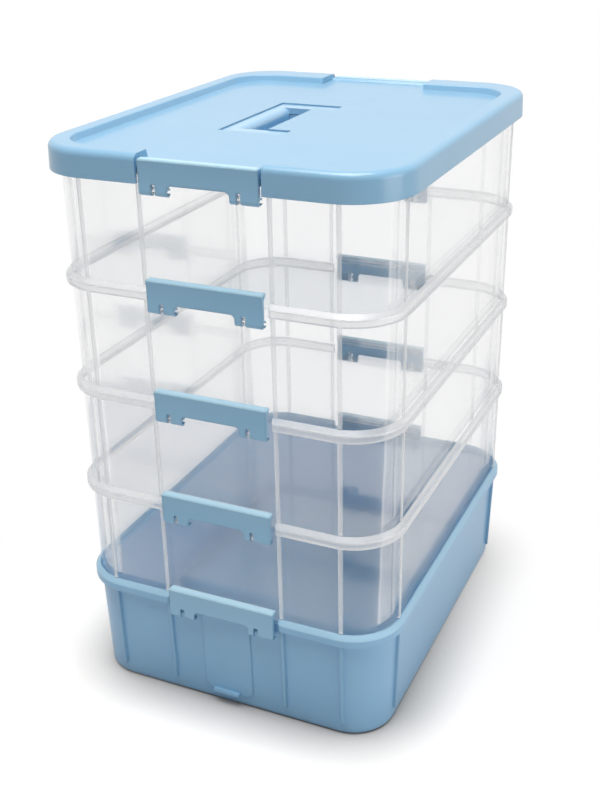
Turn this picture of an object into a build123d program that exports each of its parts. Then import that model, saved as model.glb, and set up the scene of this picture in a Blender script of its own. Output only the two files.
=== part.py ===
# Stacking thread and sewing box: a deep base bin, clear trays, a lid with a fold-flat
# carry handle, and a pair of snap latches (front and back) at every joint of the stack.
# X runs along the latch face, Y is depth, Z is up. The latch face in front looks to -Y.
import os

from build123d import *

os.makedirs("parts", exist_ok=True)

# ---- stack ----
box_width = 209.6          # outside of the walls at their tops, along X
box_depth = 267.6          # and along Y
corner_radius = 29.8       # outside corner radius of the walls there
base_seat = 73.5           # height of the ledge of the base that the first tray stands on
tray_count = 4
tray_pitch = 68.5          # from one seat ledge to the next

# ---- walls and rims ----
base_wall = 2.4
base_floor = 2.6
base_draft = 2.3           # how far the base's walls lean in, from rim to floor, per side
base_edge = 3.0            # rounding of the base's bottom edge
tray_wall = 2.0
tray_floor = 2.0
tray_draft = 0.4
rim_overhang = 3.6         # rim's outer face beyond the wall
rim_below_seat = 3.6       # rim's underside below the seat ledge
base_rim_below = 4.3       # and on the base
rim_shoulder = 1.3         # top of the rim's upright outer face above the seat ledge
collar_height = 4.2        # rim's sloping collar above the seat ledge
collar_gap = 0.4           # collar's inner face beyond the wall's outer face
collar_top = 0.5           # flat top of the collar
rim_edge = 1.4             # rounding of its lower edge
shoulder_edge = 1.0        # and of the edge where the slope begins
rim_end = 1.8              # rounding, in plan, of the rim's ends beside a latch

# ---- outside ribs ----
rib_width = 2.4
rib_depth = 1.7
rib_near_latch = 39.8      # from the middle, on the latch faces
rib_near_corner = 79.0
rib_on_side = 105.0        # from the middle, on the side faces
rib_end_above_collar = 0.8
base_rib_start = 9.5       # underside of the base's ribs above the ground

# ---- raised panel and finger ledge on the base's front ----
panel_width = 34.0
panel_bottom = 8.0
panel_relief = 0.8
panel_corner = 6.0
ledge_width = 18.4
ledge_middle = -1.5        # middle of the ledge along X
ledge_height = 2.6
ledge_relief = 1.7

# ---- latches ----
latch_width = 72.4
latch_height = 18.4        # from the pin's axis to the top of the finger lip
latch_gap = 1.8            # from the latch's end to the end of the rim beside it
latch_thickness = 2.4
latch_flare = 0.5          # the finger lip stands this far in front of the legs
latch_hollow = 0.3         # and the face between them this far behind
pin_radius = 1.25
pin_fit = 0.07             # radial running clearance of hook on pin
pin_length = 9.6
pin_below_seat = 7.5       # pin's axis below the seat ledge
pin_behind_face = 2.5      # pin's axis behind the front of the legs
plate_clearance = 0.4      # between the plate and the rim's outer face line
leg_inner = 19.0           # inner ends of the two legs, from the middle
arch_height = 4.2          # underside of the plate between the legs, above the pin's axis
arch_corner = 3.0
ear_left = -27.4           # ears that carry the pins, seen from outside the latch
ear_right = 24.3
ear_thickness = 2.0
ear_radius = 1.9
ear_clearance = 0.3
hook_mouth = 2.0           # opening of the snap hook, narrower than the pin
slot_height = 4.0          # top of the leg's slot above the pin's axis
lip_reach = 2.5            # lip's tip behind the pin's axis
lip_thickness = 1.5
lip_drop = 0.5             # lip's top falls this much towards its tip
latch_corner = 1.6
latch_edge = 1.3
catch_reach = 3.3          # catch bead outside the wall
catch_gap = 0.5            # vertical gap between bead and lip
catch_length = 66.0
catch_bottom = 5.6         # bead's underside above the seat ledge

# ---- lid ----
lid_height = 12.5          # lid's rim above the seat ledge
lid_overhang = 6.7         # skirt's outer face beyond the walls, at its lower edge
lid_draft = 0.5
lid_edge = 4.0
lid_skirt = 2.2
lid_top = 2.4
panel_depth = 4.0          # sunk panel below the rim
lid_plate = 3.0
lid_rim_width = 12.4       # rim from the skirt's face to the panel, left and right
lid_rim_depth = 18.25      # and in front and behind, as a mean
lid_middle = -4.75         # middle of the panel and of the handle along Y
lid_panel_corner = 24.0
lid_step_run = 1.5         # how far the step down to the panel leans
lid_step_edge = 1.0
ridge_drop = 2.2           # top of the ridge behind the latch's lip, below the rim
ridge_gap = 0.3            # between the ridge and the lip's tip
plug_gap = 0.3             # between plug and collar
end_wall = 2.0
end_wall_gap = 0.5         # catch and end walls above the collar below

# ---- handle ----
handle_left = -34.0        # grip's outer face
handle_right = 7.3         # rounded ends of the legs
handle_half = 45.5         # half length over the legs' outer sides
leg_width = 11.0
leg_thickness = 4.0
handle_sunk = 0.9          # handle's top below the panel
handle_clearance = 0.5
grip_width = 10.0
grip_depth = 12.0
grip_step = 2.0            # the deep part of the grip is this much narrower outside
grip_rounding = 2.6        # of its lower edges
grip_roll = 5.0            # of the upper edge that the fingers curl over
trunnion_radius = 1.4
trunnion_length = 2.2
trunnion_fit = 0.06
pin_hole_wall = 1.4
recess_fit = 0.1           # end play past a trunnion
finger_right = -6.5        # right wall of the finger pocket
finger_floor = 2.0         # pocket floor below the grip
recess_wall = 2.4
recess_end_gap = 1.3

# Outer face of the walls from the middle, and the places that follow from it.
wall_y = box_depth / 2
rim_y = wall_y + rim_overhang
gap_half = latch_width / 2 + latch_gap
plate_back_y = rim_y + plate_clearance
face_y = plate_back_y + latch_thickness
pin_y = face_y - pin_behind_face


# Height of the seat ledge of a joint: 0 is base to tray 1, tray_count is top tray to lid.
def seat(joint):
    return base_seat + joint * tray_pitch


def pin_height(joint):
    return seat(joint) - pin_below_seat


# Where the two ears of a latch stand along X, on the front (side -1) or the back (side 1).
def ear_places(side):
    return -side * ear_left, -side * ear_right


# Rounded outline of the box at a height, grown outward from the walls' outer face.
def outline(height, grow=0.0):
    with BuildSketch(Plane.XY.offset(height)) as sketch:
        RectangleRounded(box_width + 2 * grow, box_depth + 2 * grow, corner_radius + grow)
    return sketch.sketch


# Bars across the box in plan, which leave only the ribs of a grown wall.
def rib_bars(height):
    with BuildSketch(Plane.XY.offset(height)) as sketch:
        for place in (rib_near_latch, rib_near_corner):
            with Locations((-place, 0), (place, 0)):
                Rectangle(rib_width, box_depth * 2)
        with Locations((0, -rib_on_side), (0, rib_on_side)):
            Rectangle(box_width * 2, rib_width)
    return sketch.sketch


# Ribs on a wall that leans from one outline to another.
def ribs(bottom, top, grow_bottom, grow_top):
    with BuildPart() as part:
        loft([outline(bottom, grow_bottom + rib_depth), outline(top, grow_top + rib_depth)])
        extrude(rib_bars(bottom), amount=top - bottom, mode=Mode.INTERSECT)
    return part.part


# Rim with seat ledge, collar and latch gaps, and the ears and pins in those gaps.
def rim(joint, wall, below):
    ledge = seat(joint)
    underside = ledge - below
    shoulder = ledge + rim_shoulder
    axis = pin_height(joint)
    with BuildPart() as part:
        extrude(outline(underside, rim_overhang), amount=below + rim_shoulder)
        loft([outline(shoulder, rim_overhang),
              outline(ledge + collar_height, collar_gap + collar_top)])
        fillet(part.edges().group_by(Axis.Z)[0], rim_edge)
        shoulder_line = part.edges().filter_by_position(Axis.Z, shoulder - 0.01, shoulder + 0.01)
        fillet(shoulder_line, shoulder_edge)
        extrude(outline(ledge, collar_gap), amount=collar_height, mode=Mode.SUBTRACT)
        extrude(outline(underside, -wall), amount=below, mode=Mode.SUBTRACT)
        cut_back = wall_y + collar_gap
        for side in (-1, 1):
            with BuildSketch(Plane.XY.offset(underside)) as gap:
                with Locations((0, side * (rim_y - rim_end / 2))):
                    Rectangle(2 * (gap_half + rim_end), rim_end)
                with Locations((-gap_half - rim_end, side * (rim_y - rim_end)),
                               (gap_half + rim_end, side * (rim_y - rim_end))):
                    Circle(rim_end, mode=Mode.SUBTRACT)
                with Locations((0, side * (cut_back + rim_overhang / 2))):
                    Rectangle(2 * gap_half, rim_overhang)
            extrude(amount=below + collar_height, mode=Mode.SUBTRACT)
            for place in ear_places(side):
                with BuildSketch(Plane.YZ.offset(place - ear_thickness / 2)) as ear:
                    with BuildLine():
                        Polyline((side * (wall_y - wall / 2), axis - ear_radius),
                                 (side * pin_y, axis - ear_radius),
                                 (side * pin_y, axis + ear_radius),
                                 (side * cut_back, ledge),
                                 (side * (wall_y - wall / 2), ledge), close=True)
                    make_face()
                    with Locations((side * pin_y, axis)):
                        Circle(ear_radius)
                extrude(amount=ear_thickness)
                with BuildSketch(Plane.YZ.offset(place - pin_length / 2)) as pin:
                    with Locations((side * pin_y, axis)):
                        Circle(pin_radius)
                extrude(amount=pin_length)
    return part.part


# Bead along a latch face of the upper piece, with the 45 degree back that the lip grips.
def catch_profile(joint, side, root_y):
    bottom = seat(joint) + catch_bottom
    slope_top = pin_height(joint) + latch_height - lip_thickness - catch_gap
    reach_y = wall_y + catch_reach
    tip_y = pin_y - lip_reach
    # The slope passes under the lip's tip at the catch gap.
    slope_end = slope_top - (reach_y - tip_y)
    with BuildSketch(Plane.YZ.offset(-catch_length / 2)) as profile:
        with BuildLine():
            Polyline((side * root_y, bottom), (side * reach_y, bottom),
                     (side * reach_y, slope_end),
                     (side * root_y, slope_end + reach_y - root_y), close=True)
        make_face()
    return profile.sketch


# ================= base bin =================
base_rim = rim(0, base_wall, base_rim_below)
base_ribs = ribs(base_rib_start, base_seat - base_rim_below,
                 -base_draft * (1 - base_rib_start / base_seat), 0)
with BuildPart() as raised_panel:
    loft([outline(0, panel_relief - base_draft), outline(base_seat, panel_relief)])
    panel_top = base_seat - base_rim_below
    with BuildSketch(Plane.XZ) as panel:
        with Locations((0, (panel_bottom + panel_top) / 2)):
            Rectangle(panel_width, panel_top - panel_bottom)
        fillet(panel.vertices().group_by(Axis.Y)[0], panel_corner)
    extrude(amount=box_depth, mode=Mode.INTERSECT)
base_panel = raised_panel.part
with BuildPart() as base_bin:
    loft([outline(0, -base_draft), outline(base_seat, 0)])
    fillet(base_bin.edges().group_by(Axis.Z)[0], base_edge)
    add(base_ribs)
    # Raised panel below the front latch, and the ledge at its foot.
    add(base_panel)
    ledge_y = -(wall_y - base_draft / 2)
    with Locations((ledge_middle, ledge_y, panel_bottom + ledge_height / 2)):
        Box(ledge_width, base_draft + 2 * ledge_relief, ledge_height)
    add(base_rim)
    loft([outline(base_floor, -base_draft - base_wall), outline(base_seat, -base_wall)],
         mode=Mode.SUBTRACT)
base_bin.part.label = "base_bin"
export_step(base_bin.part, "parts/base_bin.step")

# ================= clear trays =================
for number in range(1, tray_count + 1):
    foot = seat(number - 1)
    ledge = seat(number)
    tray_rim = rim(number, tray_wall, rim_below_seat)
    rib_foot = foot + collar_height + rib_end_above_collar
    tray_ribs = ribs(rib_foot, ledge - rim_below_seat, -tray_draft, 0)
    with BuildPart() as tray:
        loft([outline(foot, -tray_draft), outline(ledge, 0)])
        add(tray_ribs)
        for side in (-1, 1):
            extrude(catch_profile(number - 1, side, wall_y - tray_wall), amount=catch_length)
        add(tray_rim)
        loft([outline(foot + tray_floor, -tray_draft - tray_wall), outline(ledge, -tray_wall)],
             mode=Mode.SUBTRACT)
    tray.part.label = f"tray_{number}"
    export_step(tray.part, f"parts/tray_{number}.step")

# ================= lid =================
lid_seat = seat(tray_count)
skirt_foot = lid_seat - rim_below_seat
lid_rim = lid_seat + lid_height
lid_panel = lid_rim - panel_depth
plate_under = lid_panel - lid_plate
cavity_top = lid_rim - lid_top
ridge = lid_rim - ridge_drop
wall_foot = lid_seat + collar_height + end_wall_gap
panel_half_x = box_width / 2 + lid_overhang - lid_rim_width
panel_half_y = wall_y + lid_overhang - lid_rim_depth
plug_outer = collar_gap - plug_gap
plug_inner = plug_outer - lid_skirt
catch_y = wall_y + catch_reach
ridge_y = pin_y - lip_reach - ridge_gap
ramp_foot = ridge_y - ridge + lid_panel        # 45 degree ramp from the panel to the ridge

# Handle places, shared by the recess in the lid and by the handle.
handle_top = lid_panel - handle_sunk
leg_axis_z = handle_top - leg_thickness / 2
leg_axis_x = handle_right - leg_thickness / 2
leg_inner_y = handle_half - leg_width
recess_floor = handle_top - leg_thickness - handle_clearance
recess_left = handle_left - handle_clearance
recess_right = handle_right + recess_end_gap
recess_half = handle_half + handle_clearance
island_half = leg_inner_y - handle_clearance
pocket_floor = handle_top - grip_depth - finger_floor


# A box in plan about the handle's middle line, on a plane at some height.
def plan_box(height, left, right, half):
    with BuildSketch(Plane.XY.offset(height)) as sketch:
        with Locations(((left + right) / 2, lid_middle)):
            Rectangle(right - left, 2 * half)
    return sketch.sketch


# Outline of the lid's sunk panel, shrunk where its step leans in.
def panel_outline(height, shrink=0.0):
    with BuildSketch(Plane.XY.offset(height)) as sketch:
        with Locations((0, lid_middle)):
            RectangleRounded(2 * (panel_half_x - shrink), 2 * (panel_half_y - shrink),
                             lid_panel_corner - shrink)
    return sketch.sketch


# Ramp and ridge at the edge of the panel in a latch gap, and the catch that the lip grips.
def ridge_profile(side):
    slope_top = pin_height(tray_count) + latch_height - lip_thickness - catch_gap
    slope_end = slope_top - (catch_y - (pin_y - lip_reach))
    with BuildSketch(Plane.YZ.offset(-gap_half)) as profile:
        with BuildLine():
            Polyline((side * ramp_foot, wall_foot), (side * catch_y, wall_foot),
                     (side * catch_y, slope_end),
                     (side * ridge_y, slope_end + catch_y - ridge_y),
                     (side * ridge_y, ridge), (side * ramp_foot, lid_panel), close=True)
        make_face()
    return profile.sketch


with BuildPart() as lid:
    loft([outline(skirt_foot, lid_overhang), outline(lid_rim, lid_overhang - lid_draft)])
    fillet(lid.edges().group_by(Axis.Z)[-1], lid_edge)
    # Sunk panel inside the rim.
    loft([panel_outline(lid_panel, lid_step_run), panel_outline(lid_rim)],
         mode=Mode.SUBTRACT)
    fillet(lid.edges(Select.LAST).group_by(Axis.Z)[-1], lid_step_edge)
    # Underside: channel for the tray's collar, and the space inside the plug.
    with BuildSketch(Plane.XY.offset(skirt_foot)) as channel:
        add(outline(0, lid_overhang - lid_skirt))
        add(outline(0, plug_outer), mode=Mode.SUBTRACT)
    extrude(amount=cavity_top - skirt_foot, mode=Mode.SUBTRACT)
    extrude(outline(skirt_foot, plug_outer), amount=rim_below_seat, mode=Mode.SUBTRACT)
    extrude(outline(lid_seat, plug_inner), amount=plate_under - lid_seat, mode=Mode.SUBTRACT)
    # Space under the deep rim in front and behind, closed towards the latch gaps.
    with BuildSketch(Plane.XY.offset(plate_under)) as pockets:
        add(outline(0, plug_inner))
        with Locations((0, lid_middle)):
            Rectangle(2 * box_width, 2 * (panel_half_y + lid_skirt), mode=Mode.SUBTRACT)
        Rectangle(2 * (gap_half + end_wall), 2 * box_depth, mode=Mode.SUBTRACT)
    extrude(amount=cavity_top - plate_under, mode=Mode.SUBTRACT)
    # Latch gaps at front and back: no skirt, no rim, and the panel runs out to a ridge.
    gap_top = 2 * lid_rim - lid_panel
    cut_deep = lid_overhang * 2
    cut_start = panel_half_y - abs(lid_middle) - 2 * lid_step_run
    for side in (-1, 1):
        with Locations((0, side * (catch_y + cut_deep / 2), (skirt_foot + lid_rim) / 2)):
            Box(2 * gap_half, cut_deep, 2 * (lid_rim - skirt_foot), mode=Mode.SUBTRACT)
        with Locations((0, side * (cut_start + catch_y) / 2, (lid_panel + gap_top) / 2)):
            Box(2 * gap_half, catch_y - cut_start, gap_top - lid_panel, mode=Mode.SUBTRACT)
        extrude(ridge_profile(side), amount=2 * gap_half)
        wall_start = wall_y + plug_inner
        wall_deep = wall_y + lid_overhang - lid_skirt / 2 - wall_start
        for end in (-1, 1):
            place = (end * (gap_half + end_wall / 2), side * (wall_start + wall_deep / 2),
                     (wall_foot + cavity_top) / 2)
            with Locations(place):
                Box(end_wall, wall_deep, cavity_top - wall_foot)
    # Trough below the handle: floor and walls, then the recess, pocket and pin holes.
    trough_foot = recess_floor - recess_wall
    trough_half = recess_half + trunnion_length + pin_hole_wall
    extrude(plan_box(trough_foot, recess_left - recess_wall, recess_right + recess_wall,
                     trough_half), amount=plate_under - trough_foot)
    extrude(plan_box(pocket_floor - recess_wall, recess_left - recess_wall,
                     finger_right + recess_wall, island_half + recess_wall),
            amount=trough_foot - pocket_floor + recess_wall)
    with BuildSketch(Plane.XY.offset(recess_floor)) as recess:
        add(plan_box(0, recess_left, recess_right, recess_half))
        add(plan_box(0, finger_right, recess_right, island_half), mode=Mode.SUBTRACT)
    extrude(amount=lid_panel - recess_floor, mode=Mode.SUBTRACT)
    extrude(plan_box(pocket_floor, recess_left, finger_right, island_half),
            amount=lid_panel - pocket_floor, mode=Mode.SUBTRACT)
    extrude(plan_box(trough_foot, finger_right + recess_wall, recess_right,
                     island_half - recess_wall),
            amount=plate_under - trough_foot, mode=Mode.SUBTRACT)
    hole_half = handle_half + trunnion_length + recess_fit
    with BuildSketch(Plane.XZ.offset(-lid_middle - hole_half)) as holes:
        with Locations((leg_axis_x, leg_axis_z)):
            Circle(trunnion_radius + trunnion_fit)
    pin_holes = extrude(amount=hole_half - island_half - leg_width / 2, mode=Mode.PRIVATE)
    add(pin_holes, mode=Mode.SUBTRACT)
    mirror(pin_holes, about=Plane.XZ.offset(-lid_middle), mode=Mode.SUBTRACT)
lid.part.label = "lid"
export_step(lid.part, "parts/lid.step")

# ================= carry handle =================
with BuildPart() as carry_handle:
    with BuildSketch(Plane.XY.offset(handle_top - leg_thickness)) as frame:
        add(plan_box(0, handle_left, leg_axis_x, handle_half))
        add(plan_box(0, handle_left + grip_width, handle_right, leg_inner_y),
            mode=Mode.SUBTRACT)
    extrude(amount=leg_thickness)
    # Deep, rounded part of the grip that hangs in the finger pocket.
    grip_half = island_half - handle_clearance
    with BuildSketch(Plane.XZ.offset(-lid_middle - grip_half)) as grip:
        with BuildLine():
            left, right = handle_left + grip_step, handle_left + grip_width
            Polyline((left, handle_top - leg_thickness / 2), (left, handle_top - grip_depth),
                     (right, handle_top - grip_depth), (right, handle_top - leg_thickness / 2),
                     close=True)
        make_face()
        fillet(grip.vertices().group_by(Axis.Y)[0], grip_rounding)
    extrude(amount=2 * grip_half)
    # Rolled upper edge between the legs.
    with BuildSketch(Plane.XZ.offset(-lid_middle - leg_inner_y)) as roll:
        with Locations((right - grip_roll / 2, handle_top - grip_roll / 2)):
            Rectangle(grip_roll, grip_roll)
        with Locations((right - grip_roll, handle_top - grip_roll)):
            Circle(grip_roll, mode=Mode.SUBTRACT)
    extrude(amount=2 * leg_inner_y, mode=Mode.SUBTRACT)
    # Rounded leg ends round the hinge line, and the trunnions outside them.
    for side in (-1, 1):
        leg_middle = lid_middle + side * (leg_inner_y + leg_width / 2)
        with BuildSketch(Plane.XZ.offset(-leg_middle)) as leg_end:
            with Locations((leg_axis_x, leg_axis_z)):
                Circle(leg_thickness / 2)
        extrude(amount=leg_width / 2, both=True)
        with BuildSketch(Plane.XZ.offset(-lid_middle - side * handle_half)) as trunnion:
            with Locations((leg_axis_x, leg_axis_z)):
                Circle(trunnion_radius)
        extrude(amount=-side * trunnion_length)
carry_handle.part.label = "carry_handle"
export_step(carry_handle.part, "parts/carry_handle.step")


# ================= latches =================
# One latch of a joint, on the front (side -1) or the back (side 1), closed.
def latch(joint, side):
    axis = pin_height(joint)
    top = axis + latch_height
    back_y = plate_back_y
    front_y = face_y + latch_flare
    tip_y = pin_y - lip_reach
    lip_foot = top - lip_thickness
    with BuildPart() as part:
        with BuildSketch(Plane.YZ.offset(-latch_width / 2)) as profile:
            with BuildLine():
                ThreePointArc((side * face_y, axis),
                              (side * (face_y - latch_hollow), axis + latch_height / 2),
                              (side * front_y, top))
                Polyline((side * front_y, top), (side * back_y, top),
                         (side * tip_y, top - lip_drop), (side * tip_y, lip_foot),
                         (side * back_y, lip_foot - back_y + tip_y),
                         (side * back_y, axis), (side * face_y, axis))
            make_face()
            lip_corners = profile.vertices().group_by(Axis.Y)[-1]
            fillet(lip_corners.sort_by(Axis.X)[0 if side < 0 else -1], latch_edge)
            with Locations((side * pin_y, axis)):
                Circle(pin_behind_face)
                Circle(pin_radius + pin_fit, mode=Mode.SUBTRACT)
            with Locations((side * (pin_y - pin_behind_face), axis)):
                Rectangle(2 * pin_behind_face, hook_mouth, mode=Mode.SUBTRACT)
        extrude(amount=latch_width)
        # Outer outline with rounded corners.
        outline_height = latch_height + pin_behind_face
        with BuildSketch(Plane.XZ.offset(-side * pin_y)) as face:
            with Locations((0, top - outline_height / 2)):
                RectangleRounded(latch_width, outline_height, latch_corner)
        extrude(amount=2 * latch_height, both=True, mode=Mode.INTERSECT)
        # Arch between the legs, and the slots that the ears stand in.
        with BuildSketch(Plane.XZ.offset(-side * pin_y)) as cuts:
            arch_deep = arch_height + 2 * pin_behind_face
            with Locations((0, axis + arch_height - arch_deep / 2)):
                Rectangle(2 * leg_inner, arch_deep)
            fillet(cuts.vertices().group_by(Axis.Y)[-1], arch_corner)
        extrude(amount=2 * latch_height, both=True, mode=Mode.SUBTRACT)
        slot_deep = slot_height + 2 * pin_behind_face
        slot_middle = axis + slot_height - slot_deep / 2
        with Locations(*[(place, side * pin_y, slot_middle) for place in ear_places(side)]):
            Box(ear_thickness + 2 * ear_clearance, 4 * latch_thickness, slot_deep,
                mode=Mode.SUBTRACT)
    return part.part


for joint in range(tray_count + 1):
    for side, place in ((-1, "front"), (1, "back")):
        latch_part = latch(joint, side)
        latch_part.label = f"latch_{place}_{joint + 1}"
        export_step(latch_part, f"parts/latch_{place}_{joint + 1}.step")
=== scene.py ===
import bpy
from mathutils import Matrix, Vector

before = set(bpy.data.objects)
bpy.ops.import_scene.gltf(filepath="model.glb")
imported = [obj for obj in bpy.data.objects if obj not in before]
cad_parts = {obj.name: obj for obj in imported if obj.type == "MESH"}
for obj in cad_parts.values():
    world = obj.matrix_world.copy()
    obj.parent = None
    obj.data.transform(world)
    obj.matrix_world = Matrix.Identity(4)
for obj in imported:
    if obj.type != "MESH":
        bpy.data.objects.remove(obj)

scene = bpy.context.scene
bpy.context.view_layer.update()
print("frame loaded:", len(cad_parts), "nodes")

white = (1, 1, 1, 1)


# A socket that shader maths is written with: 1 - mask adds its own Math node.
class Wire:
    def __init__(self, graph, socket):
        self.graph, self.socket = graph, socket

    def __add__(self, other):
        return self.graph.maths("ADD", self, other)

    def __sub__(self, other):
        return self.graph.maths("SUBTRACT", self, other)

    def __rsub__(self, other):
        return self.graph.maths("SUBTRACT", other, self)

    def __mul__(self, other):
        return self.graph.maths("MULTIPLY", self, other)

    def __abs__(self):
        return self.graph.maths("ABSOLUTE", self)

    __radd__ = __add__
    __rmul__ = __mul__


# A shader tree. A node's settings go in first, then the values or links of its sockets.
class Graph:
    def __init__(self, tree):
        self.tree = tree
        tree.nodes.clear()

    def add(self, kind, settings=None, sockets=None, output=0):
        node = self.tree.nodes.new(kind)
        for name, value in (settings or {}).items():
            setattr(node, name, value)
        for name, value in (sockets or {}).items():
            if isinstance(value, Wire):
                self.tree.links.new(value.socket, node.inputs[name])
            else:
                node.inputs[name].default_value = value
        return Wire(self, node.outputs[output]) if len(node.outputs) else node

    def maths(self, operation, *values):
        return self.add("ShaderNodeMath", {"operation": operation}, dict(enumerate(values)))

    def axis(self, place, letter):
        return self.add("ShaderNodeSeparateXYZ", None, {0: place}, output=letter)

    def step(self, value, low, high):          # 0 below low, 1 above high, smooth between
        return self.add("ShaderNodeMapRange", {"interpolation_type": "SMOOTHSTEP"},
                        {"Value": value, "From Min": low, "From Max": high})

    def noise(self, place, scale, detail, rough=0.5):
        return self.add("ShaderNodeTexNoise", None,
                        {"Vector": place, "Scale": scale, "Detail": detail,
                         "Roughness": rough})

    def bump(self, height, distance, strength, **under):
        return self.add("ShaderNodeBump", None,
                        {"Height": height, "Distance": distance, "Strength": strength, **under})

    def mixColour(self, factor, first, second):
        return self.add("ShaderNodeMix", {"data_type": "RGBA"},
                        {"Factor": factor, 6: first, 7: second}, output=2)

    def mixShader(self, factor, first, second):
        return self.add("ShaderNodeMixShader", None, {0: factor, 1: first, 2: second})

    def darken(self, factor, shader):          # nothing but black where the factor is 0
        return self.add("ShaderNodeMixShader", None, {0: factor, 2: shader})

    def finish(self, shader, kind="ShaderNodeOutputMaterial"):
        self.add(kind, None, {"Surface": shader})


def newMaterial(name):
    material = bpy.data.materials.new(name)
    material.use_nodes = True
    return material, Graph(material.node_tree)


# Outer face of the walls of base and trays, without ribs and rims.
boxWalls = {"halfWidth": 0.1048, "halfDepth": 0.1338, "corner": 0.0298}


# How far a point stands outside the rounded outline of the walls.
def beyondWall(graph, place):
    corner = boxWalls["corner"]
    sideways = abs(graph.axis(place, "X")) - (boxWalls["halfWidth"] - corner)
    forwards = abs(graph.axis(place, "Y")) - (boxWalls["halfDepth"] - corner)
    outX, outY = graph.maths("MAXIMUM", sideways, 0), graph.maths("MAXIMUM", forwards, 0)
    reach = graph.maths("SQRT", outX * outX + outY * outY)
    inside = graph.maths("MINIMUM", graph.maths("MAXIMUM", sideways, forwards), 0)
    return reach + inside - corner


# The blue mouldings. Edge is the radius that softens their edges, through is the share of
# light that passes through, and lip is the thin top edge, where a paler band is a painted
# highlight, repeated at each lipPitch.
# painted light and shade: the parts' colours are lit and shaded copies of one plastic, the lid and
# latches darker, the base and handle lighter
bluePlastic = {
    "lid": {
        "colour": (0.300, 0.575, 0.80, 1), "cloudColour": (0.320, 0.595, 0.815, 1),
        "roughness": 0.34, "grain": 1900, "grainHeight": 0.000012,
        "edge": 0.0006, "through": 0.16, "throughColour": (0.31, 0.585, 0.8075, 1),
    },
    "base": {
        "colour": (0.350, 0.635, 0.85, 1), "cloudColour": (0.370, 0.655, 0.865, 1),
        "roughness": 0.38, "grain": 1700, "grainHeight": 0.000014,
        "edge": 0.0020, "through": 0.24, "throughColour": (0.345, 0.64, 0.865, 1),
        "lipFrom": 0.0746, "lipHeight": 0.0035, "lipPitch": 0.2,      # one lip only
    },
    "latch": {
        "colour": (0.275, 0.55, 0.785, 1), "cloudColour": (0.295, 0.57, 0.80, 1),
        "roughness": 0.30, "grain": 2300, "grainHeight": 0.000010,
        "edge": 0.0018, "through": 0.05, "throughColour": (0.285, 0.56, 0.7925, 1),
        "lipFrom": 0.0830, "lipHeight": 0.0030, "lipPitch": 0.0685,   # from joint to joint
    },
    "handle": {
        "colour": (0.35, 0.605, 0.835, 1), "cloudColour": (0.375, 0.63, 0.85, 1),
        "roughness": 0.32, "grain": 2300, "grainHeight": 0.000010,
        "edge": 0.0004, "through": 0.05, "throughColour": (0.3625, 0.6175, 0.8425, 1),
    },
}

# What all blue mouldings share.
blueFinish = {
    "cloudScale": 17, "cloudFrom": 0.3, "cloudTo": 0.7,       # slow clouds in the colour
    "flowScale": 90, "sinkDepth": 0.00025, "sinkStrength": 0.6,
    "grainRough": 0.6, "grainShine": 0.10, "flowShine": 0.06,
    # painted highlight of the lips: its colour, its share and the fade of its edge
    "lipHighlightColour": (0.56, 0.84, 0.98, 1), "lipHighlightShare": 0.8, "lipHighlightFade": 0.0004,
    "refraction": 1.49, "coat": 0.5, "coatRoughness": 0.14, "edgeSamples": 4,
}

# Painted light: the inside of the base is painted a cleaner, more saturated blue that stands in
# for the light inside the box. Its walls lean in by draft at the foot.
paintedLightInside = {
    "colour": (0.29, 0.63, 0.90, 1), "seat": 0.0735, "draft": 0.0023,
    "wallFrom": -0.0016, "wallTo": -0.0008,
    "floorFrom": 0.0008, "floorTo": 0.0016,
}


def paintLightInside(graph, place, height, colour):
    sizes = paintedLightInside
    lean = sizes["draft"] - sizes["draft"] / sizes["seat"] * height
    wall = 1 - graph.step(beyondWall(graph, place) + lean, sizes["wallFrom"], sizes["wallTo"])
    aboveFloor = graph.step(height, sizes["floorFrom"], sizes["floorTo"])
    # painted light: the inside walls and floor take the cleaner blue
    return graph.mixColour(wall * aboveFloor, colour, sizes["colour"])


def paintLipHighlight(graph, sizes, height, colour):
    above = graph.maths("FLOORED_MODULO", height - sizes["lipFrom"], sizes["lipPitch"])
    top = sizes["lipHeight"]
    # painted highlight: a paler band along the top edge of each lip
    lipHighlight = 1 - graph.step(above, top, top + blueFinish["lipHighlightFade"])
    return graph.mixColour(blueFinish["lipHighlightShare"] * lipHighlight, colour, blueFinish["lipHighlightColour"])


def blueMaterial(part):
    sizes = bluePlastic[part]
    shared = blueFinish
    material, graph = newMaterial("bluePlastic_" + part)
    place = graph.add("ShaderNodeTexCoord", output="Object")
    height = graph.axis(place, "Z")
    cloud = graph.noise(place, shared["cloudScale"], detail=3)
    flow = graph.noise(place, shared["flowScale"], detail=2)
    grain = graph.noise(place, sizes["grain"], detail=2, rough=shared["grainRough"])
    colour = graph.mixColour(graph.step(cloud, shared["cloudFrom"], shared["cloudTo"]),
                             sizes["colour"], sizes["cloudColour"])
    if part == "base":
        # painted light inside the base
        colour = paintLightInside(graph, place, height, colour)
    # painted highlight along the lips
    if "lipFrom" in sizes:
        colour = paintLipHighlight(graph, sizes, height, colour)
    roughness = (sizes["roughness"] + shared["grainShine"] * (grain - 0.5)
                 + shared["flowShine"] * (flow - 0.5))
    edge = graph.add("ShaderNodeBevel", {"samples": shared["edgeSamples"]},
                     {"Radius": sizes["edge"]})
    sink = graph.bump(flow, shared["sinkDepth"], strength=shared["sinkStrength"], Normal=edge)
    bump = graph.bump(grain, sizes["grainHeight"], strength=1.0, Normal=sink)
    solid = graph.add("ShaderNodeBsdfPrincipled", None,
                      {"Base Color": colour, "Roughness": roughness, "IOR": shared["refraction"],
                       "Coat Weight": shared["coat"],
                       "Coat Roughness": shared["coatRoughness"], "Normal": bump})
    through = graph.add("ShaderNodeBsdfTranslucent", None,
                        {"Color": sizes["throughColour"], "Normal": bump})
    graph.finish(graph.mixShader(sizes["through"], solid, through))
    return material


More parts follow.
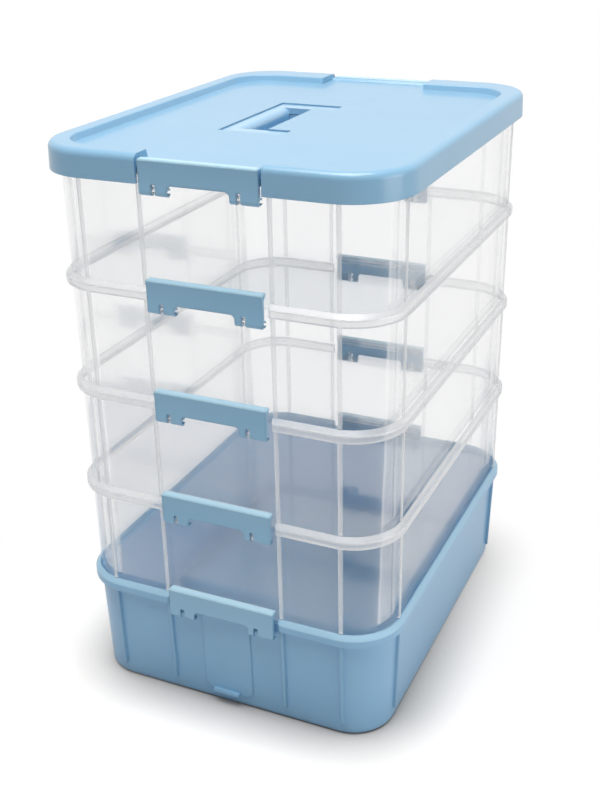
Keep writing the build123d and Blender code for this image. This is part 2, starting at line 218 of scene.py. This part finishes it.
# The clear trays. Veils say how much plastic is seen instead of what lies behind it. Heights
# count from the underside of a tray's floor, and lie the same in each of the four trays.
clearPlastic = {
    "firstSeat": 0.0735, "pitch": 0.0685, "below": 0.0002,
    "floor": 0.0022, "floorFade": 0.0004, "floorEdge": -0.0028, "floorEdgeTo": -0.0022,
    "proudFrom": 0.0003, "proudTo": 0.0007,                   # ribs and rims outside the walls
    "gap": 0.0374, "gapFade": 0.0006,                         # half width behind the latches
    "window": 0.0398, "windowFade": 0.0006,                   # polished panel of the ends
    "windowFrom": 0.005, "windowTo": 0.004,                   # how far inside the end walls
    # collarTop and rimFoot place the painted highlight lines of a rim, and line sets their width
    "collarTop": 0.0014, "rimFoot": 0.0652, "line": 0.0004,   # bright lines of a rim
    "satinVeil": 0.022, "polishedVeil": 0.008, "floorVeil": 0.026,
    "rimVeil": 0.42, "gapVeil": 0.10, "highlightLineVeil": 0.75,
    "mottleScale": 420, "mottleRough": 0.6, "mottleFrom": 0.85, "mottleShare": 0.3,
    "wallColour": (0.96, 0.96, 0.96, 1), "milkyColour": (0.98, 0.98, 0.975, 1),
    "tint": (0.997, 0.997, 0.997, 1), "scatter": 0.70,        # scatter: share of soft light
    "roughness": 0.22, "windowPolish": 0.14, "rimRough": 0.16,
    "flowScale": 45, "flowDepth": 0.0003, "flowStrength": 0.5, "refraction": 1.49,
    "glossColour": (0.98, 0.98, 0.98, 1), "glossRough": 0.08, "rimGlossRough": 0.36,
    "sheenRefraction": 1.35, "sheen": 0.48, "floorDull": 0.30, "rimShine": 0.15,
}


# Where a point lies on a tray: each mask is 1 on its own region and 0 elsewhere.
def trayRegions(graph, place):
    sizes = clearPlastic
    across, along = abs(graph.axis(place, "X")), abs(graph.axis(place, "Y"))
    fromSeat = sizes["below"] - sizes["firstSeat"]
    above = graph.maths("FLOORED_MODULO", graph.axis(place, "Z") + fromSeat, sizes["pitch"])
    outside = beyondWall(graph, place)
    proud = graph.step(outside, sizes["proudFrom"], sizes["proudTo"])
    low = 1 - graph.step(above, sizes["floor"], sizes["floor"] + sizes["floorFade"])
    floor = low * (1 - graph.step(outside, sizes["floorEdge"], sizes["floorEdgeTo"]))
    side, fade, end = sizes["window"], sizes["windowFade"], boxWalls["halfDepth"]
    middle = 1 - graph.step(across, side - fade, side + fade)
    window = middle * graph.step(along, end - sizes["windowFrom"], end - sizes["windowTo"])
    gap = 1 - graph.step(across, sizes["gap"], sizes["gap"] + sizes["gapFade"])
    line = sizes["line"]
    # painted highlights: thin bands along the collar top and the rim foot
    collarHighlight = 1 - graph.step(abs(above - sizes["collarTop"]), line, 2 * line)
    footHighlight = 1 - graph.step(abs(above - sizes["rimFoot"]), line, 2 * line)
    highlightLines = proud * (1 - gap) * graph.maths("MAXIMUM", collarHighlight, footHighlight)
    return proud, floor, window, gap, highlightLines


def trayVeil(graph, place, proud, floor, window, gap, highlightLines):
    sizes = clearPlastic
    veil = sizes["satinVeil"] + (sizes["polishedVeil"] - sizes["satinVeil"]) * window
    veil = veil + (sizes["floorVeil"] - veil) * floor
    rimVeil = sizes["rimVeil"] + (sizes["gapVeil"] - sizes["rimVeil"]) * gap
    veil = veil + (rimVeil - veil) * proud
    # the painted highlight lines turn nearly opaque milky plastic
    veil = veil + (sizes["highlightLineVeil"] - veil) * highlightLines
    mottle = graph.noise(place, sizes["mottleScale"], detail=3, rough=sizes["mottleRough"])
    return veil * (sizes["mottleFrom"] + sizes["mottleShare"] * mottle)


def clearMaterial():
    sizes = clearPlastic
    material, graph = newMaterial("clearPlastic_tray")
    place = graph.add("ShaderNodeTexCoord", output="Object")
    proud, floor, window, gap, highlightLines = trayRegions(graph, place)
    veil = trayVeil(graph, place, proud, floor, window, gap, highlightLines)
    colour = graph.mixColour(graph.maths("MAXIMUM", proud, floor), sizes["wallColour"],
                             sizes["milkyColour"])
    roughness = sizes["roughness"] - sizes["windowPolish"] * window + sizes["rimRough"] * proud
    flow = graph.noise(place, sizes["flowScale"], detail=2)
    bump = graph.bump(flow, sizes["flowDepth"], strength=sizes["flowStrength"])
    solid = graph.add("ShaderNodeBsdfPrincipled", None,
                      {"Base Color": colour, "Roughness": roughness,
                       "IOR": sizes["refraction"], "Normal": bump})
    scatter = graph.add("ShaderNodeBsdfTranslucent", None,
                        {"Color": sizes["milkyColour"], "Normal": bump})
    clear = graph.add("ShaderNodeBsdfTransparent", None, {"Color": sizes["tint"]})
    body = graph.mixShader(veil, clear, graph.mixShader(sizes["scatter"], solid, scatter))
    glossRough = sizes["glossRough"] + sizes["rimGlossRough"] * proud
    gloss = graph.add("ShaderNodeBsdfAnisotropic", None,
                      {"Color": sizes["glossColour"], "Roughness": glossRough,
                       "Normal": bump})
    sheen = graph.add("ShaderNodeFresnel", None,
                      {"IOR": sizes["sheenRefraction"], "Normal": bump})
    shine = sheen * (sizes["sheen"] - sizes["floorDull"] * floor) + sizes["rimShine"] * proud
    graph.finish(graph.mixShader(shine, body, gloss))
    return material


materials = {part: blueMaterial(part) for part in bluePlastic}
materials["tray"] = clearMaterial()
finishes = {"base_bin": "base", "lid": "lid", "carry_handle": "handle"}
for name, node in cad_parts.items():
    part = finishes.get(name) or ("tray" if name.startswith("tray") else "latch")
    for slot in node.material_slots:
        slot.material = materials[part]
print("materials made:", len(materials))

# A pale floor that turns into the white backdrop round the box.
studioFloor = {
    "height": -0.0002, "half": 20.0,
    "colour": (0.915, 0.89, 0.87, 1),
    "bounceColour": (0.7, 0.7, 0.7, 1),                # what the floor throws back on the box
    "lift": (0.25, 0.25, 0.25, 1),                     # white added where the camera sees it
    # painted contact shadow: ambient occlusion darkens the floor and backdrop next to the box
    "nookReach": 0.042, "nookDepth": 1.15, "nookSamples": 8,   # the dark line under the box
    "fadeMiddle": (0.045, -0.17, 0.0), "fadeFrom": 0.06, "fadeTo": 0.34,
}


# 1 for what the camera sees, also in a mirror or through the clear walls.
def seenByCamera(graph):
    rays = [graph.add("ShaderNodeLightPath", output=f"Is {kind} Ray")
            for kind in ("Camera", "Glossy", "Transmission")]
    return graph.maths("MINIMUM", rays[0] + rays[1] + rays[2], 1)


def floorMaterial():
    sizes = studioFloor
    material, graph = newMaterial("paleFloor")
    place = graph.add("ShaderNodeTexCoord", output="Object")
    reach = graph.add("ShaderNodeVectorMath", {"operation": "DISTANCE"},
                      {0: place, 1: sizes["fadeMiddle"]}, output="Value")
    fade = graph.step(reach, sizes["fadeFrom"], sizes["fadeTo"])
    seen = seenByCamera(graph)
    # painted contact shadow from ambient occlusion
    nook = graph.add("ShaderNodeAmbientOcclusion", {"samples": sizes["nookSamples"]},
                     {"Distance": sizes["nookReach"]}, output="AO")
    shade = graph.maths("POWER", nook, sizes["nookDepth"])
    bounce = graph.add("ShaderNodeBsdfDiffuse", None, {"Color": sizes["bounceColour"]})
    plain = graph.add("ShaderNodeBsdfDiffuse", None, {"Color": sizes["colour"]})
    glow = graph.add("ShaderNodeEmission", None, {"Color": sizes["lift"]})
    lifted = graph.add("ShaderNodeAddShader", None, {0: plain, 1: glow})
    backdrop = graph.add("ShaderNodeEmission", None, {"Color": white})
    near = graph.darken(shade, graph.mixShader(seen, bounce, lifted))
    far = graph.darken(graph.maths("SQRT", shade), backdrop)
    graph.finish(graph.mixShader(fade * seen, near, far))
    return material


def makeFloor():
    half, height = studioFloor["half"], studioFloor["height"]
    corners = [(x, y, height) for x, y in ((-half, -half), (half, -half), (half, half),
                                           (-half, half))]
    mesh = bpy.data.meshes.new("studioFloor")
    mesh.from_pydata(corners, [], [(0, 1, 2, 3)])
    mesh.materials.append(floorMaterial())
    floor = bpy.data.objects.new("studioFloor", mesh)
    scene.collection.objects.link(floor)


studioWorld = {"ambient": (0.98, 0.99, 1.0, 1), "ambientLevel": 0.15}


# The camera sees a white room, and the box gets soft light from it.
def makeWorld():
    world = bpy.data.worlds.new("studioWorld")
    world.use_nodes = True
    graph = Graph(world.node_tree)
    ambient = graph.add("ShaderNodeBackground", None,
                        {"Color": studioWorld["ambient"], "Strength": studioWorld["ambientLevel"]})
    backdrop = graph.add("ShaderNodeBackground", None, {"Color": white})
    graph.finish(graph.mixShader(seenByCamera(graph), ambient, backdrop),
                 "ShaderNodeOutputWorld")
    scene.world = world


# Square soft boxes, power in watts. Only those that are mirrored show in glossy plastic.
lamps = {
    "overheadLamp": {"place": (-0.05, -0.35, 2.20), "aim": (0, 0, 0.2), "size": 1.4,
                     "power": 46.0, "colour": (1.0, 0.99, 0.98), "mirrored": True},
    "rightLamp": {"place": (1.6, -0.1, 0.32), "aim": (0, 0, 0.13), "size": 1.0,
                  "power": 9.5, "colour": (1.0, 0.99, 0.98), "mirrored": True},
    "backLamp": {"place": (-0.5, 1.7, 0.8), "aim": (0, 0, 0.2), "size": 1.4,
                 "power": 6.5, "colour": (1.0, 1.0, 1.0), "mirrored": False},
    "backSheen": {"place": (-0.5, 1.7, 0.8), "aim": (0, 0, 0.2), "size": 1.4,
                  "power": 1.0, "colour": (1.0, 1.0, 1.0), "mirrored": True},
}


def makeLamp(name, sizes):
    light = bpy.data.lights.new(name, "AREA")
    light.size, light.energy, light.color = sizes["size"], sizes["power"], sizes["colour"]
    lamp = bpy.data.objects.new(name, light)
    lamp.location = sizes["place"]
    lamp.visible_glossy = sizes["mirrored"]
    aim = Vector(sizes["aim"]) - lamp.location
    lamp.rotation_euler = aim.to_track_quat("-Z", "Y").to_euler()
    scene.collection.objects.link(lamp)


camera = {
    "place": (0.29954, -0.66346, 0.49973),
    "right": (0.91393, 0.40560, -0.01457), "down": (0.15095, -0.37302, -0.91546),
    "width": 600, "height": 801, "focal": 1157.64, "middle": (308.89, 375.02),   # in pixels
    "sensor": 36,                                                                # in mm
}


def makeCamera():
    pixels = camera["height"]                          # the sensor spans the taller side
    lens = bpy.data.cameras.new("productCamera")
    lens.sensor_width = camera["sensor"]
    lens.lens = camera["focal"] * camera["sensor"] / pixels
    lens.shift_x = (camera["width"] / 2 - camera["middle"][0]) / pixels
    lens.shift_y = (camera["middle"][1] - camera["height"] / 2) / pixels
    view = bpy.data.objects.new("productCamera", lens)
    right, up = Vector(camera["right"]), -Vector(camera["down"])
    turn = Matrix((right, up, right.cross(up))).transposed().to_4x4()
    view.matrix_world = Matrix.Translation(camera["place"]) @ turn
    scene.collection.objects.link(view)
    scene.camera = view


makeFloor()
makeWorld()
for lampName, lampSizes in lamps.items():
    makeLamp(lampName, lampSizes)
makeCamera()
scene.view_settings.view_transform = "Standard"
scene.cycles.transparent_max_bounces = 64      # a look through the stack crosses many walls
print("studio made")
